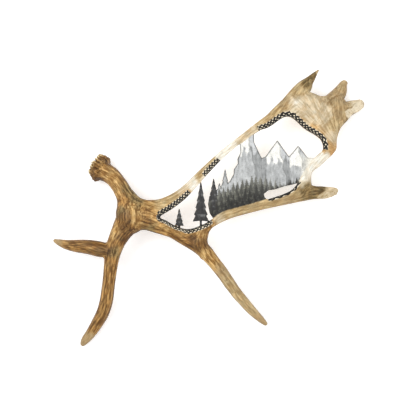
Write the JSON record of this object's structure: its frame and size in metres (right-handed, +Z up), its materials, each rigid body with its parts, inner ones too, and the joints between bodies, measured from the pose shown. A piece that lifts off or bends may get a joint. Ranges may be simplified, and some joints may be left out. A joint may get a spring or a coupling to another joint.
{
  "type": "carved moose antler",
  "caption": "Cast moose antler with a burr, branching brow tines and a palm pierced with a mountain and spruce landscape, resting on its tips.",
  "frame": {"origin": "under the middle of the antler's bounding box, on the surface it rests on", "axes": "+X from the brow tines to the far points of the palm, +Y to the burr, +Z up out of the convex side of the palm"},
  "size_m": [0.8514, 0.5386, 0.1082],
  "materials": {
    "antler": "satin, tan with dark streaks",
    "palm": "satin, cream to tan, painted landscape in charcoal, blue grey and white"
  },
  "bodies": {
    "root": {"burr_beam": "antler", "brow_branch": "antler", "brow_side_tine": "antler", "palm": "palm", "rear_tine": "antler"}
  },
  "joints": []
}
